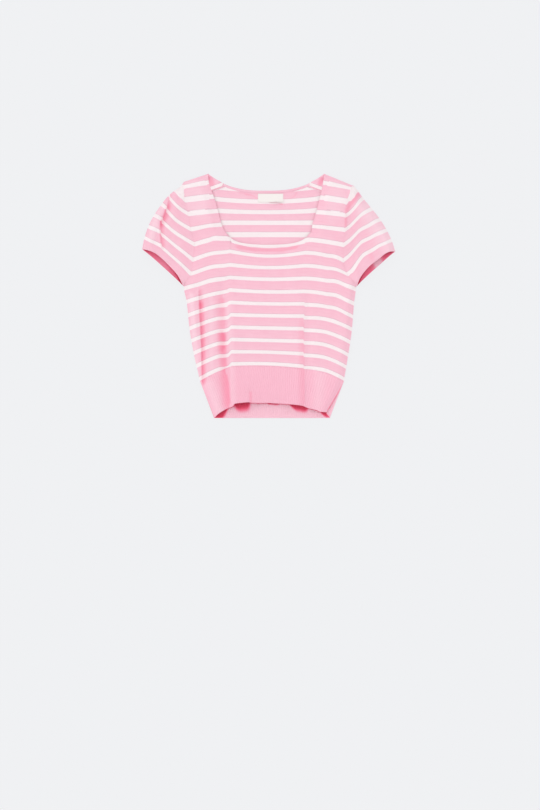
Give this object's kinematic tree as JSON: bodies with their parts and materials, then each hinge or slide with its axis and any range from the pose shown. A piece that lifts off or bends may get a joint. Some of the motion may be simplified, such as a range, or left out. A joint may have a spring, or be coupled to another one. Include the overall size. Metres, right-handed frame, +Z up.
{
  "type": "square-neck short-sleeved knitted sweater, laid flat",
  "caption": "Cropped knitted sweater with a wide rounded-square neck, short puffed sleeves and a deep ribbed hem, laid flat front up.",
  "frame": {"origin": "centre of the laid-flat garment's outline, on the surface it lies on", "axes": "+X across the garment towards its right edge as seen from above, +Y from the hem towards the neck, +Z up out of the front"},
  "size_m": [0.5435, 0.524, 0.0179],
  "materials": {
    "striped_knit": "fine soft jersey knit, pink with narrow off-white stripes",
    "ribbed_knit": "soft ribbed knit, plain pink",
    "label_cloth": "smooth woven ribbon, off-white and blank"
  },
  "bodies": {
    "root": {"back_panel": "striped_knit", "front_panel": "striped_knit", "sleeve_left": "striped_knit", "sleeve_right": "striped_knit", "hem_rib_back": "ribbed_knit", "hem_rib_front": "ribbed_knit", "neck_label": "label_cloth"}
  },
  "joints": []
}
